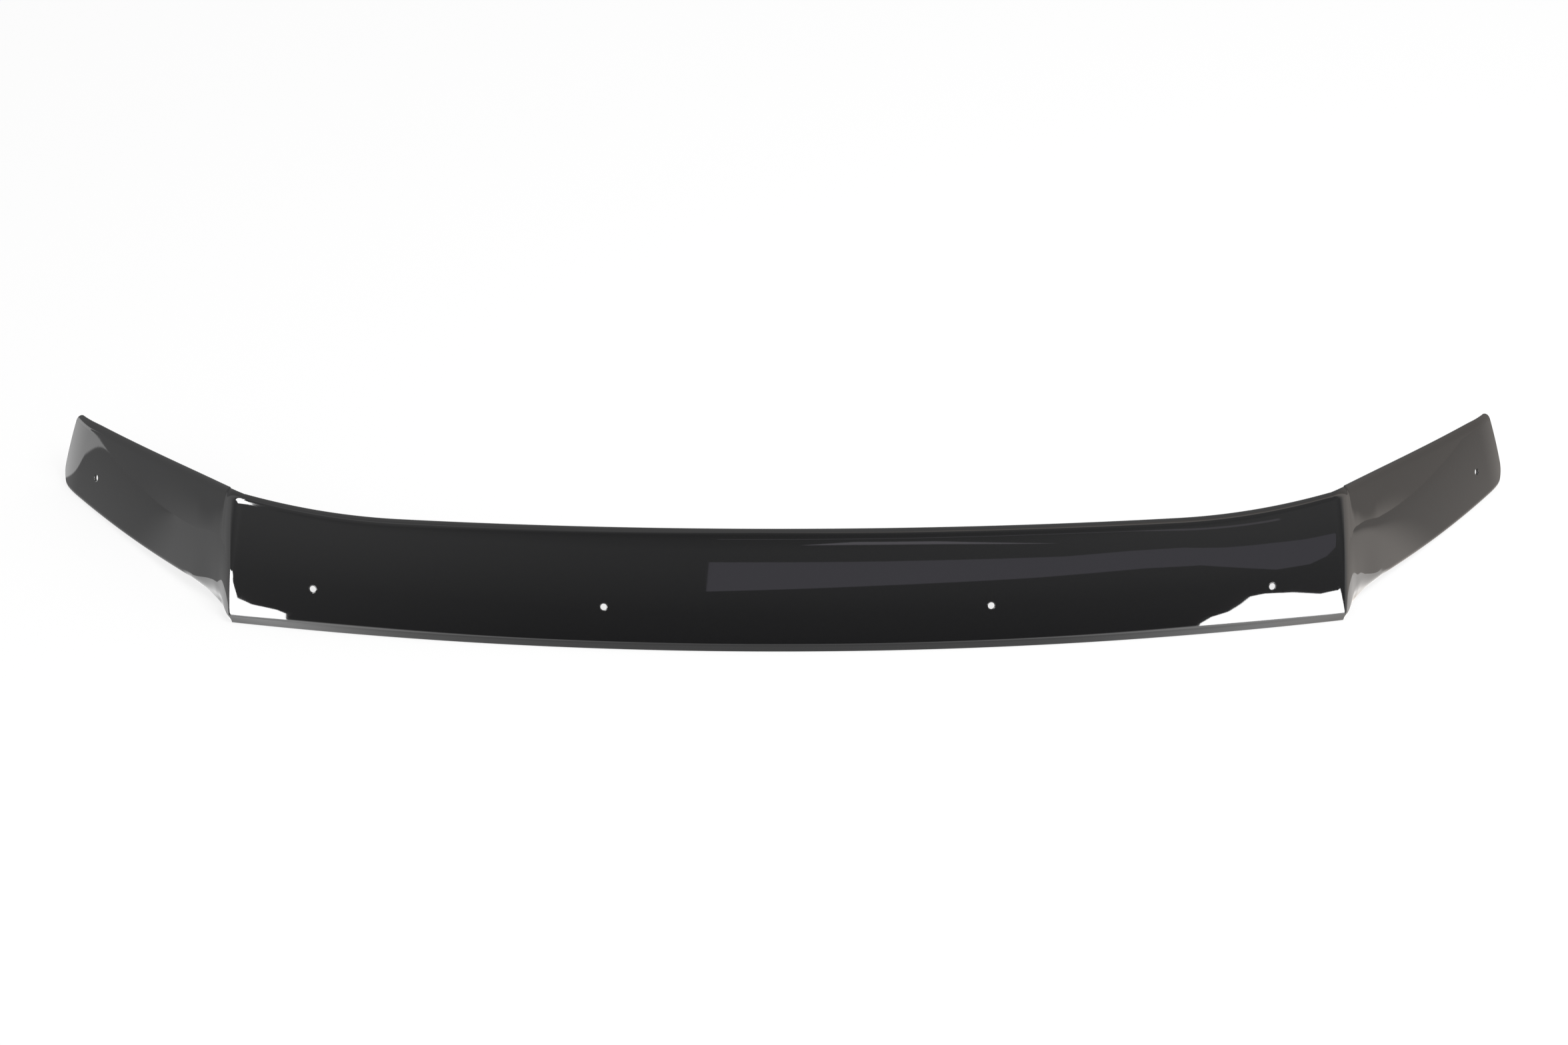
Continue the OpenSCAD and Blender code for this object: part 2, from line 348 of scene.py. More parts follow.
@dataclass(frozen=True)
class SheetSizes:
    """Sizes of the formed sheet, in millimetres and degrees, as its solid has them."""

    sheet_t: float = 3.0
    face_w: float = 1026.0
    face_h: float = 105.0
    face_taper: float = 7.2
    flare_h: float = 17.0
    flare_w: float = 156.0
    face_plan_r: float = 2890.0
    face_lean: float = degrees(36.0)
    face_bulge: float = 2.5
    flange_w: float = 6.0
    crease_turn: float = degrees(36.0)
    crease_r: float = 5.0
    lip_r: float = 12.0
    lip_turn: float = degrees(48.0)
    fold_r: float = 5.0
    fold_top_r: float = 28.0
    wing_turn: float = degrees(47.5)
    fold_fan: float = degrees(3.0)
    wing_l: float = 296.8
    tip_h: float = 69.0
    wing_waist: float = 2.4
    tip_turn: float = degrees(51.6)
    tip_lean: float = degrees(22.3)
    tip_lean_dir: float = degrees(45.7)
    curl_turn: float = degrees(10.0)
    curl_l: float = 30.0
    tip_low_r: float = 20.0
    tip_top_r: float = 7.0
    foot_step: float = 17.3
    foot_step_l: float = 68.0
    foot_step_fade: float = 2.0
    foot_w: float = 1.0
    foot_fade_l: float = 10.0
    fan_r: float = 30.0
    fan_grow_l: float = 20.0
    fan_from: float = 26.0
    fan_to: float = 64.0
    foot_tip_r: float = 6.0
    tip_bulge: float = 1.0
    tip_drop: float = 4.773
    fold_min_r: float = 0.3
    hole_d: float = 6.0
    face_hole_up: float = 31.0
    tip_hole_up: float = 27.0

    @property
    def face_half(self) -> float:
        """Half the width of the face."""
        return self.face_w / 2

    @property
    def end_heading(self) -> float:
        """Plan heading of the face at its end."""
        return math.asin(self.face_half / self.face_plan_r)

    @staticmethod
    def normal(heading: float, up: Vector) -> Vector:
        """Outward normal of a sheet with a plan heading and a slope vector."""
        return Vector((math.cos(heading), math.sin(heading), 0)).cross(up).normalized()

    @property
    def face_up(self) -> Vector:
        """Unit vector up the face's slope."""
        return Vector((0, math.sin(math.radians(self.face_lean)), math.cos(math.radians(self.face_lean))))

    @property
    def fold_in(self) -> float:
        """How far a fold's line leans inwards for each millimetre up the face's slope."""
        return math.sin(math.radians(self.face_lean)) * math.sin(math.radians(self.fold_fan))

    @property
    def fold_line(self) -> Vector:
        """Step of a fold's line for each millimetre up the face's slope."""
        return self.face_up - self.fold_in * Vector((1, math.tan(self.end_heading), 0))

    @property
    def fold_scale(self) -> float:
        """Length of that step."""
        return self.fold_line.length

    @property
    def fold_up(self) -> Vector:
        """Unit vector up a fold's line."""
        return self.fold_line.normalized()

    @property
    def start_lean(self) -> float:
        """Lean of a wing at its fold."""
        return math.acos(self.fold_up.z)

    @property
    def start_lean_dir(self) -> float:
        """Plan direction of that lean."""
        return math.atan2(-self.fold_up.x, self.fold_up.y)

    @property
    def fold_apex(self) -> Vector:
        """Where the face's foot line meets the wing's."""
        return Vector((self.face_half, self.face_plan_r * (1 - math.cos(self.end_heading)), 0))

    @property
    def face_end_normal(self) -> Vector:
        """Outward normal of the face at the fold."""
        return self.normal(self.end_heading, self.face_up)

    @property
    def wing_start_normal(self) -> Vector:
        """Outward normal of the wing at the fold."""
        return self.normal(math.radians(self.wing_turn), self.fold_up)

    @property
    def fold_angle(self) -> float:
        """Angle that the sheet turns through at the foot of a fold."""
        return math.acos(self.face_end_normal.dot(self.wing_start_normal))

    def wing_up(self, s: float) -> Vector:
        """Unit vector up a wing's slope.

        Args:
            s: Length from the fold.

        Returns:
            The vector.
        """
        lean = between(self.start_lean, math.radians(self.tip_lean), s / self.wing_l)
        fan = between(self.start_lean_dir, math.radians(self.tip_lean_dir), s / self.wing_l)
        return Vector((-math.sin(lean) * math.sin(fan), math.sin(lean) * math.cos(fan), math.cos(lean)))

    @property
    def wing_start_step(self) -> Vector:
        """Step of a wing's foot line in its first millimetre."""
        heading = math.radians(self.wing_turn)
        return Vector((math.cos(heading), math.sin(heading), -self.tip_drop / self.wing_l))

    @property
    def wing_start_twist(self) -> Vector:
        """Change of a wing's slope vector in its first millimetre."""
        return self.wing_up(1.0) - self.wing_up(0.0)

    @property
    def fold_h(self) -> float:
        """Height of the sheet along a fold's line."""
        return self.face_height(self.face_half) * self.fold_scale

    @property
    def fold_leave(self) -> Vector:
        """Normal of the wing at a fold's top, as long as the wing's first millimetre is there."""
        return (self.wing_start_step + self.fold_h * self.wing_start_twist).cross(self.fold_up)

    @property
    def fold_reach(self) -> float:
        """How far a fold's rounding reaches from its line."""
        angle = math.acos(self.face_end_normal.dot(self.fold_leave.normalized()))
        return (self.fold_top_r + self.sheet_t) * math.tan(angle / 2)

    @property
    def wing_from(self) -> float:
        """Length along a wing's foot at which the plain wing starts."""
        return self.fold_reach / self.fold_leave.length

    @property
    def fold_x(self) -> float:
        """Distance from the middle at which the face ends and a fold's rounding may start."""
        return self.face_half - self.fold_reach - self.face_height(self.face_half) * self.fold_in

    @property
    def fold_gap(self) -> float:
        """Blank's stretch between the face and the fold's arc."""
        return self.fold_reach - self.fold_r * math.tan(self.fold_angle / 2)

    @property
    def leave_gap(self) -> float:
        """Blank's stretch between the fold's arc and the plain wing."""
        return self.wing_from - self.fold_r * math.tan(self.fold_angle / 2)

    @property
    def face_run(self) -> float:
        """Length along the foot from the middle to where the fold begins."""
        return self.face_plan_r * math.asin(self.fold_x / self.face_plan_r)

    @property
    def wing_run(self) -> float:
        """Length along the foot from the middle to where the fold has ended."""
        return self.face_run + self.fold_gap + self.fold_r * self.fold_angle + self.leave_gap

    @property
    def tip_run(self) -> float:
        """Length along the foot from the middle to a wing's tip."""
        return self.wing_run + self.wing_l - self.wing_from

    def face_height(self, x: float) -> float:
        """Height of the face along its slope at a distance from the middle."""
        flare = max(0.0, (abs(x) - self.face_half + self.flare_w) / self.flare_w)
        return self.face_h - self.face_taper * (x / self.face_half) ** 2 + self.flare_h * flare**2

    def wing_height(self, s: float) -> float:
        """Height of a wing along its slope, at a length from the fold, before its foot steps up."""
        t = s / self.wing_l
        return between(self.fold_h, self.tip_h, t) - 4 * self.wing_waist * t * (1 - t)

    @property
    def fold_crown(self) -> float:
        """Rise of the parabola on which the height crosses a fold.

        Returns:
            The rise.
        """
        x, s = self.fold_x, self.wing_from
        slopes = self.face_height(x) - self.face_height(x - 1) + self.wing_height(s) - self.wing_height(s + 1)
        return slopes * (self.face_half - x + s) / 8

    def section(self, run: float) -> Section:
        """The sheet's section at a length along the foot from the middle.

        Args:
            run: The length, positive towards either tip.

        Returns:
            The section there.
        """
        x = self.face_plan_r * math.sin(min(run, self.face_run) / self.face_plan_r)
        share = min(max((run - self.face_run - self.fold_gap) / (self.fold_r * self.fold_angle), 0.0), 1.0)
        past = max(run - self.wing_run, 0.0)
        into_fold = min(max((run - self.face_run) / self.fold_gap, 0.0), 1.0)
        face = self.face_height(x) * between(1.0, self.fold_scale, into_fold)
        height = between(face, self.wing_height(self.wing_from + past), share)
        height += 4 * share * (1 - share) * self.fold_crown
        s = past + self.wing_from * min(max((run - self.wing_run + self.leave_gap) / self.leave_gap, 0.0), 1.0)
        t = min(s / self.wing_l, 1.0)
        bulge = between(self.face_bulge, self.tip_bulge, t)
        fan = self.ease(s / self.fan_grow_l) * (1 - self.ease((s - self.fan_from) / (self.fan_to - self.fan_from)))
        plain_r = between(self.crease_r, self.foot_tip_r, t)
        foot_r = between(plain_r, self.fan_r, fan)
        bend, turn = 4 * bulge / height, math.radians(self.crease_turn)
        rise = self.foot_step * self.ease(s / self.foot_step_l) * (1 - t) ** self.foot_step_fade
        rise += (foot_r - plain_r) * (math.sin(bend + turn) - math.sin(bend))
        return Section(
            height=height - rise,
            flange=between(self.foot_w, self.flange_w, math.exp(-s / self.foot_fade_l)),
            foot_r=foot_r,
            bulge=bulge,
            lip_r=self.lip_r,
            lip_turn=math.radians(self.lip_turn),
            crease_turn=turn,
        )

    @staticmethod
    def ease(share: float) -> float:
        """A smooth step of a share that goes from 0 to 1."""
        share = min(max(share, 0.0), 1.0)
        return share * share * (3 - 2 * share)


@dataclass(frozen=True)
class ScrewHole:
    """One screw hole: its side, its length along the foot from the middle, and its height."""

    side: Side
    run: float
    up: float


@dataclass
class FlatBlank:
    """The sheet before it is formed: a flat plate with rounded edges and its holes cut.

    X is the length along the foot from the middle, Y the length along the section from the crease's
    upper end, and Z the depth, from 0 on the outer side to minus the thickness.
    """

    sizes: SheetSizes
    holes: Sequence[ScrewHole]
    edge_r: float = 0.8
    edge_steps: int = 3
    line_gap: float = 0.25
    column_gap: float = 8.0
    flare_gap: float = 5.0
    foot_gap: float = 2.4
    wing_gap: float = 6.5
    tip_gap: float = 2.6
    hole_gap: float = 2.0
    hole_cells: int = 8
    flange_rows: int = 3
    crease_rows: int = 10
    slope_rows: int = 48
    lip_rows: int = 10
    fold_columns: int = 10
    enter_columns: int = 2
    leave_columns: int = 5
    tip_zone: float = 40.0
    ring_shares: tuple[float, ...] = (0.68, 0.32, 0.0)
    narrow_line: float = 0.4
    count_slack: float = 1e-6
    points: list[tuple[float, float]] = field(default_factory=list)
    cells: list[tuple[int, ...]] = field(default_factory=list)

    def stations(self, side: Side) -> list[float]:
        """Lengths from the middle at which one half of the blank has its columns.

        Args:
            side: The half.

        Returns:
            The lengths, from the middle outwards.
        """
        sizes = self.sizes
        half = self.hole_gap * self.hole_cells / 2
        edge = sizes.tip_run - self.edge_r
        stops = [
            (sizes.face_half - sizes.flare_w, self.column_gap),
            (sizes.face_run, self.flare_gap),
            (sizes.face_run + sizes.fold_gap, sizes.fold_gap / self.enter_columns),
            (sizes.wing_run - sizes.leave_gap, sizes.fold_r * sizes.fold_angle / self.fold_columns),
            (sizes.wing_run, sizes.leave_gap / self.leave_columns),
            (sizes.wing_run + sizes.fan_to, self.foot_gap),
            (sizes.tip_run - self.tip_zone, self.wing_gap),
            (edge - self.line_gap, self.tip_gap),
            (edge, self.line_gap),
        ]
        for hole in self.holes:
            if hole.side is side:
                after = next(gap for end, gap in sorted(stops) if end > hole.run)
                stops = [stop for stop in stops if abs(stop[0] - hole.run) > half]
                stops += [(hole.run - half, after), (hole.run + half, self.hole_gap)]
        made = [0.0]
        for end, gap in sorted(stops):
            count = max(1, math.ceil((end - made[-1]) / gap - self.count_slack))
            made += [between(made[-1], end, i / count) for i in range(1, count + 1)]
        return made

    def rows(self, run: float) -> np.ndarray:
        """Y of every row at a length from the middle.

        Args:
            run: The length.

        Returns:
            The rows' Y, from the flange's free edge to the lip's.
        """
        section = self.sizes.section(run)
        low, high = -section.crease_length - section.flange, section.slope_length + section.lip_length
        line = min(self.line_gap, self.narrow_line * (section.flange - self.edge_r))
        return np.concatenate(
            [
                [low + self.edge_r],
                np.linspace(low + self.edge_r + line, -section.crease_length, self.flange_rows + 1),
                np.linspace(-section.crease_length, 0, self.crease_rows + 1)[1:],
                np.linspace(0, section.slope_length, self.slope_rows + 1)[1:],
                np.linspace(section.slope_length, high - self.edge_r - self.line_gap, self.lip_rows + 1)[1:],
                [high - self.edge_r],
            ]
        )

    def corner_cut(self, radius: float, inset: float) -> float:
        """What a rounded corner takes off a row that runs inset from the blank's edge."""
        radius -= self.edge_r
        return radius - math.sqrt(radius**2 - (radius - inset) ** 2) if inset < radius else 0.0

    def lay_grid(self) -> tuple[np.ndarray, list[float]]:
        """Lays out the blank's columns and rows, with the tips' corners rounded.

        Returns:
            The grid's points as an array of columns, rows and (X, Y), and the columns' signed lengths.
        """
        sizes = self.sizes
        runs = [-r for r in reversed(self.stations(Side.LEFT))] + self.stations(Side.RIGHT)[1:]
        tip = self.rows(sizes.tip_run)
        low, top = sizes.tip_low_r, sizes.tip_top_r
        cuts = [self.corner_cut(low, y - tip[0]) + self.corner_cut(top, tip[-1] - y) for y in tip]
        grid = np.zeros((len(runs), len(tip), 2))
        for i, run in enumerate(runs):
            share = max(0.0, (abs(run) - sizes.tip_run + self.tip_zone) / (self.tip_zone - self.edge_r))
            grid[i, :, 0] = [math.copysign(abs(run) - share * cut, run) for cut in cuts]
            grid[i, :, 1] = self.rows(abs(run))
        return grid, runs

    def lay_cells(self, grid: np.ndarray, runs: list[float]) -> None:
        """Fills points and cells with the plate's outer side, rings of cells around each hole.

        Args:
            grid: The laid-out points.
            runs: The columns' signed lengths.
        """
        columns, rows = grid.shape[:2]
        self.points = [tuple(point) for point in grid.reshape(-1, 2)]
        holed: set[tuple[int, int]] = set()
        for hole in self.holes:
            centre = (hole.side.value * hole.run, self.sizes.section(hole.run).along(hole.up))
            i = int(np.argmin([abs(run - centre[0]) for run in runs])) - self.hole_cells // 2
            j = int(np.argmin(np.abs(grid[i, :, 1] - centre[1]))) - self.hole_cells // 2
            holed |= {(i + a, j + b) for a in range(self.hole_cells) for b in range(self.hole_cells)}
            self.ring_hole(centre, [p * rows + q for p, q in self.square(i, j)])
        for i in range(columns - 1):
            for j in range(rows - 1):
                if (i, j) not in holed:
                    a = i * rows + j
                    self.cells.append((a, a + rows, a + rows + 1, a + 1))

    def square(self, i: int, j: int) -> list[tuple[int, int]]:
        """Lists the points around a hole's square of cells, anticlockwise.

        Args:
            i: The square's first column.
            j: Its first row.

        Returns:
            The points' columns and rows.
        """
        n = self.hole_cells
        return (
            [(i + k, j) for k in range(n)]
            + [(i + n, j + k) for k in range(n)]
            + [(i + n - k, j + n) for k in range(n)]
            + [(i, j + n - k) for k in range(n)]
        )

    def ring_hole(self, centre: tuple[float, float], outer: list[int]) -> None:
        """Lays rings of cells from a square of points in to a round hole.

        Args:
            centre: Middle of the hole on the blank.
            outer: The square's points, anticlockwise from its lower left corner.
        """
        count = len(outer)
        angles = [2 * math.pi * k / count - 0.75 * math.pi for k in range(count)]
        edge = self.sizes.hole_d / 2 + self.edge_r
        last = outer
        for radius, share in [*((edge + self.line_gap, share) for share in self.ring_shares), (edge, 0.0)]:
            start = len(self.points)
            for turn, index in zip(angles, outer):
                x, y = centre[0] + radius * math.cos(turn), centre[1] + radius * math.sin(turn)
                square_x, square_y = self.points[index]
                self.points.append((between(x, square_x, share), between(y, square_y, share)))
            ring = list(range(start, start + count))
            for k in range(count):
                m = (k + 1) % count
                self.cells.append((last[k], last[m], ring[m], ring[k]))
            last = ring

    def borders(self) -> list[tuple[int, int]]:
        """Edges of the outer side that only one cell has, with that cell on their left."""
        seen = {(cell[k], cell[(k + 1) % len(cell)]) for cell in self.cells for k in range(len(cell))}
        return [(a, b) for a, b in seen if (b, a) not in seen]

    def mesh(self, name: str) -> bpy.types.Mesh:
        """Makes the whole blank: outer side, inner side and the rounded edge between them.

        Args:
            name: Name of the mesh.

        Returns:
            The closed mesh.
        """
        self.points.clear()
        self.cells.clear()
        self.lay_cells(*self.lay_grid())
        flat = np.array(self.points)
        used = sorted({index for cell in self.cells for index in cell})
        place = {index: k for k, index in enumerate(used)}
        count, thick = len(used), self.sizes.sheet_t
        layers = [np.column_stack([flat[used], np.full(count, depth)]) for depth in (0.0, -thick)]
        faces = [tuple(place[i] for i in cell) for cell in self.cells]
        faces += [tuple(count + i for i in reversed(face)) for face in faces]
        borders = self.borders()
        outward: dict[int, Vector] = {}
        for a, b in borders:
            step = Vector(self.points[b]) - Vector(self.points[a])
            for index in (a, b):
                outward[index] = outward.get(index, Vector((0, 0))) + Vector((step.y, -step.x)).normalized()
        ring_of = {index: [place[index]] for index in outward}
        turns = [0.5 * math.pi * k / self.edge_steps for k in range(1, self.edge_steps + 1)]
        profile = [(math.sin(a), self.edge_r * (math.cos(a) - 1)) for a in turns]
        profile += [(math.cos(a), -thick + self.edge_r * (1 - math.sin(a))) for a in [0.0, *turns[:-1]]]
        total = 2 * count
        for out, depth in profile:
            ring = []
            for index, way in outward.items():
                ring_of[index].append(total + len(ring))
                ring.append((*(Vector(self.points[index]) + way.normalized() * self.edge_r * out), depth))
            layers.append(np.array(ring))
            total += len(ring)
        for index in outward:
            ring_of[index].append(count + place[index])
        for a, b in borders:
            for k in range(len(profile) + 1):
                faces.append((ring_of[b][k], ring_of[a][k], ring_of[a][k + 1], ring_of[b][k + 1]))
        made = bpy.data.meshes.new(name)
        made.from_pydata(np.concatenate(layers).tolist(), [], faces)
        made.validate()
        made.polygons.foreach_set("use_smooth", np.ones(len(made.polygons), dtype=bool))
        made.update()
        return made


class FormingTree:
    """A Geometry Nodes tree that forms a flat blank into the deflector's sheet."""

    DERIVED: dict[str, tuple[str, ...]] = {
        "ANGLE": ("fold_angle", "start_lean", "start_lean_dir"),
        "NONE": ("wing_from", "fold_gap", "leave_gap", "fold_x", "fold_h", "fold_scale", "fold_crown"),
        "XYZ": (
            "fold_apex",
            "fold_up",
            "face_end_normal",
            "wing_start_normal",
            "wing_start_step",
            "wing_start_twist",
        ),
    }
    TINY_TURN: float = 1e-4

    def __init__(self, sizes: SheetSizes, material: bpy.types.Material) -> None:
        """Builds the tree.

        Args:
            sizes: Sizes of the sheet.
            material: Material that the formed sheet gets.
        """
        self.tree = bpy.data.node_groups.new("Form the sheet", "GeometryNodeTree")
        self.bench = NodeBench(self.tree)
        self.values: dict[str, object] = {}
        self.keys: dict[str, str] = {}
        self.tree.interface.new_socket("Blank", in_out="INPUT", socket_type="NodeSocketGeometry")
        for item in fields(sizes):
            value = getattr(sizes, item.name)
            if "angle" in item.metadata:
                self.add_input(item.name, math.radians(value), "ANGLE")
            else:
                self.add_input(item.name, value, "NONE")
        for kind, names in self.DERIVED.items():
            for name in names:
                value = getattr(sizes, name)
                self.add_input(name, tuple(value) if kind == "XYZ" else value, kind)
        self.tree.interface.new_socket("Sheet", in_out="OUTPUT", socket_type="NodeSocketGeometry")
        self.entry = self.tree.nodes.new("NodeGroupInput")
        self.form(material)

    def add_input(self, name: str, value: object, kind: str) -> None:
        """Adds a named input.

        Args:
            name: Field name of the size.
            value: Its value, in radians where it is an angle.
            kind: Subtype of the input: NONE, ANGLE, or XYZ for a vector.
        """
        label = name.replace("_", " ").capitalize()
        socket = "NodeSocketVector" if kind == "XYZ" else "NodeSocketFloat"
        item = self.tree.interface.new_socket(label, in_out="INPUT", socket_type=socket)
        item.subtype = kind
        self.values[item.identifier] = value
        self.keys[name] = label

    def size(self, name: str) -> Wire:
        """The input of a size, by its field name."""
        return Wire(self.bench, self.entry.outputs[self.keys[name]])

    def up_slope(self, lean: Wire, azimuth: Wire) -> Wire:
        """Unit vector up the slope of a sheet that leans back by lean, towards a plan direction."""
        return self.bench.vector(-(lean.sine() * azimuth.sine()), lean.sine() * azimuth.cosine(), lean.cosine())

    def heading_vector(self, heading: Wire) -> Wire:
        """Unit vector along a plan heading."""
        return self.bench.vector(heading.cosine(), heading.sine(), 0.0)

    def arc_step(self, length: Wire, start: Wire, end: Wire) -> Wire:
        """Plan step along an arc of a length whose heading goes from start to end."""
        half = (end - start) * 0.5 + self.TINY_TURN
        return self.heading_vector((start + end) * 0.5) * (length * half.sine() / half)

    def full_height(self, x: Wire, into_fold: Wire, share: Wire, past_fold: Wire) -> Wire:
        """Height of the sheet along its slope, before a wing's foot steps up.

        Args:
            x: Distance from the middle, as far as the fold.
            into_fold: Share of the way from the face to the fold's arc.
            share: Share of the fold's turn.
            past_fold: Length beyond the fold.

        Returns:
            The height.
        """
        size, half = self.size, self.size("face_w") * 0.5
        flare = ((x - half + size("flare_w")) / size("flare_w")).at_least(0.0)
        face = size("face_h") - size("face_taper") * (x / half) ** 2.0 + size("flare_h") * flare**2.0
        face = face * between(1.0, size("fold_scale"), into_fold)
        t = (size("wing_from") + past_fold) / size("wing_l")
        wing = between(size("fold_h"), size("tip_h"), t) - size("wing_waist") * t * (1.0 - t) * 4.0
        return between(face, wing, share) + size("fold_crown") * share * (1.0 - share) * 4.0

    def section_point(self, full: Wire, s: Wire, along: Wire, depth: Wire) -> tuple[Wire, Wire]:
        """A blank point's place in the section: up the slope and outwards from the foot line.

        Args:
            full: Height of the section before its foot steps up.
            s: Its length along the wing, from the fold.
            along: The point's length along the section.
            depth: The point's depth.

        Returns:
            The two lengths.
        """
        size, t = self.size, (s / self.size("wing_l")).at_most(1.0)
        bulge = between(size("face_bulge"), size("tip_bulge"), t)
        narrowed = s.stepped(size("fan_from"), size("fan_to") - size("fan_from"))
        plain_r = between(size("crease_r"), size("foot_tip_r"), t)
        radius = between(plain_r, size("fan_r"), (s / size("fan_grow_l")).eased() * (1.0 - narrowed))
        rise = size("foot_step") * (s / size("foot_step_l")).eased() * (1.0 - t) ** size("foot_step_fade")
        full_bend = bulge * 4.0 / full
        rise = rise + (radius - plain_r) * ((full_bend + size("crease_turn")).sine() - full_bend.sine())
        height = full - rise
        bend = bulge * 4.0 / height
        slope_h = height - size("lip_r") * ((bend + size("lip_turn")).sine() - bend.sine())
        slope_r = slope_h / (bend.sine() * 2.0)
        slope_l = slope_r * bend * 2.0
        on_slope = along.within(0.0, slope_l)
        on_lip = (along - slope_l).within(0.0, size("lip_r") * size("lip_turn"))
        on_crease = (-along).within(0.0, radius * size("crease_turn"))
        on_flange = (-along - radius * size("crease_turn")).at_least(0.0)
        slope_a = on_slope / slope_r - bend
        lip_a = bend + on_lip / size("lip_r")
        crease_a = -bend - on_crease / radius
        end_a = bend + size("crease_turn")
        up = slope_r * (slope_a.sine() + bend.sine()) + size("lip_r") * (lip_a.sine() - bend.sine())
        up = up + radius * (crease_a.sine() + bend.sine()) - on_flange * end_a.cosine()
        out = slope_r * (slope_a.cosine() - bend.cosine()) + size("lip_r") * (lip_a.cosine() - bend.cosine())
        out = out + radius * (crease_a.cosine() - bend.cosine()) - on_flange * end_a.sine()
        angle = slope_a + on_lip / size("lip_r") - on_crease / radius
        return up + rise + depth * angle.sine(), out + depth * angle.cosine()

    def on_face(self, run: Wire, up: Wire, out: Wire) -> Wire:
        """A point of the face.

        Args:
            run: Length from the middle.
            up: Place up the slope.
            out: Place outwards.

        Returns:
            The point.
        """
        radius, lean = self.size("face_plan_r"), self.size("face_lean")
        heading = run / radius
        slope = self.bench.vector(0.0, lean.sine(), lean.cosine())
        foot = self.bench.vector(radius * heading.sine(), radius * (1.0 - heading.cosine()), 0.0)
        return foot + slope * up + self.heading_vector(heading).cross(slope).unit() * out

    def on_fold(self, share: Wire, full: Wire, up: Wire, out: Wire) -> Wire:
        """A point of the fold.

        Args:
            share: Share of the fold's turn.
            full: Height of the section.
            up: Place up the slope.
            out: Place outwards.

        Returns:
            The point.
        """
        size, slope = self.size, self.size("fold_up")
        last = (size("wing_start_step") + size("wing_start_twist") * up).cross(slope).unit()
        middle, normal = self.fold_normals(share, last)
        foot_middle, foot_normal = self.fold_normals(share, size("wing_start_normal"))
        radius = between(size("fold_r"), size("fold_top_r"), (up / full).eased())
        offset = out.at_least(size("fold_min_r") - radius)
        slide = radius * (middle.parts()[2] - normal.parts()[2]) / slope.parts()[2]
        place = size("fold_apex") + (normal - middle) * radius + slope * (up + slide)
        return place + foot_middle * (out - offset) + foot_normal * offset

    def fold_normals(self, share: Wire, last: Wire) -> tuple[Wire, Wire]:
        """Normals of a fold.

        Args:
            share: Share of the fold's turn.
            last: Normal where the fold ends.

        Returns:
            The middle normal, stretched to where the two sides meet, and the normal at the share.
        """
        first = self.size("face_end_normal")
        turn = first.dot(last).arccosine()
        middle = (first + last).unit() / (turn * 0.5).cosine()
        return middle, (first * ((1.0 - share) * turn).sine() + last * (share * turn).sine()) / turn.sine()

    def on_wing(self, s: Wire, up: Wire, out: Wire) -> Wire:
        """A point of the wing.

        Args:
            s: Length from the fold.
            up: Place up the slope.
            out: Place outwards.

        Returns:
            The point.
        """
        size, t = self.size, s / self.size("wing_l")
        straight = size("wing_l") - size("curl_l")
        plain, curl = s.at_most(straight), (s - straight).at_least(0.0)
        bent = between(size("wing_turn"), size("tip_turn"), plain / straight)
        heading = bent + size("curl_turn") * curl / size("curl_l")
        lean = between(size("start_lean"), size("tip_lean"), t)
        slope = self.up_slope(lean, between(size("start_lean_dir"), size("tip_lean_dir"), t))
        foot = size("fold_apex") - self.bench.vector(0.0, 0.0, size("tip_drop") * t)
        foot = foot + self.arc_step(plain, size("wing_turn"), bent)
        foot = foot + self.arc_step(curl, size("tip_turn"), heading)
        return foot + slope * up + self.heading_vector(heading).cross(slope).unit() * out

    def form(self, material: bpy.types.Material) -> None:
        """Adds the nodes that move the blank's points, stand the sheet on the floor and dress it.

        Args:
            material: The sheet's material.
        """
        bench, size = self.bench, self.size
        position = bench.wire("GeometryNodeInputPosition", {}, {})
        across, along, depth = position.parts()
        run, gap, leave = abs(across), size("fold_gap"), size("leave_gap")
        turn_l = size("fold_r") * size("fold_angle")
        radius = size("face_plan_r")
        face_run = radius * (size("fold_x") / radius).arcsine()
        past_face = run - face_run
        into_fold = (past_face / gap).within(0.0, 1.0)
        share = ((past_face - gap) / turn_l).within(0.0, 1.0)
        out_of_fold = ((past_face - gap - turn_l) / leave).within(0.0, 1.0)
        past_fold = (past_face - gap - turn_l - leave).at_least(0.0)
        face_at = run.at_most(face_run)
        full = self.full_height(radius * (face_at / radius).sine(), into_fold, share, past_fold)
        up, out = self.section_point(full, out_of_fold * size("wing_from") + past_fold, along, depth)
        place = between(self.on_face(face_at, up, out), self.on_fold(share, full, up, out), into_fold)
        place = between(place, self.on_wing(past_fold + size("wing_from"), up, out), out_of_fold)
        formed = place * bench.vector(across.sign(), 1.0, 1.0)
        blank = Wire(bench, self.entry.outputs["Blank"])
        kept = bench.wire(
            "GeometryNodeStoreNamedAttribute", {"data_type": "FLOAT_VECTOR", "domain": "POINT"},
            {"Geometry": blank, "Name": "blank", "Value": position},
        )
        sheet = bench.wire("GeometryNodeSetPosition", {}, {"Geometry": kept, "Position": formed})
        box = bench.node("GeometryNodeBoundBox", {}, {"Geometry": sheet})
        low, high = Wire(bench, box.outputs["Min"]), Wire(bench, box.outputs["Max"])
        middle = (low + high) * 0.5
        stood = bench.vector(0.0, -middle.parts()[1], -low.parts()[2])
        moved = (bench.wire("GeometryNodeInputPosition", {}, {}) + stood) * MM
        sheet = bench.wire("GeometryNodeSetPosition", {}, {"Geometry": sheet, "Position": moved})
        sheet = bench.wire("GeometryNodeRealizeInstances", {}, {"Geometry": sheet})
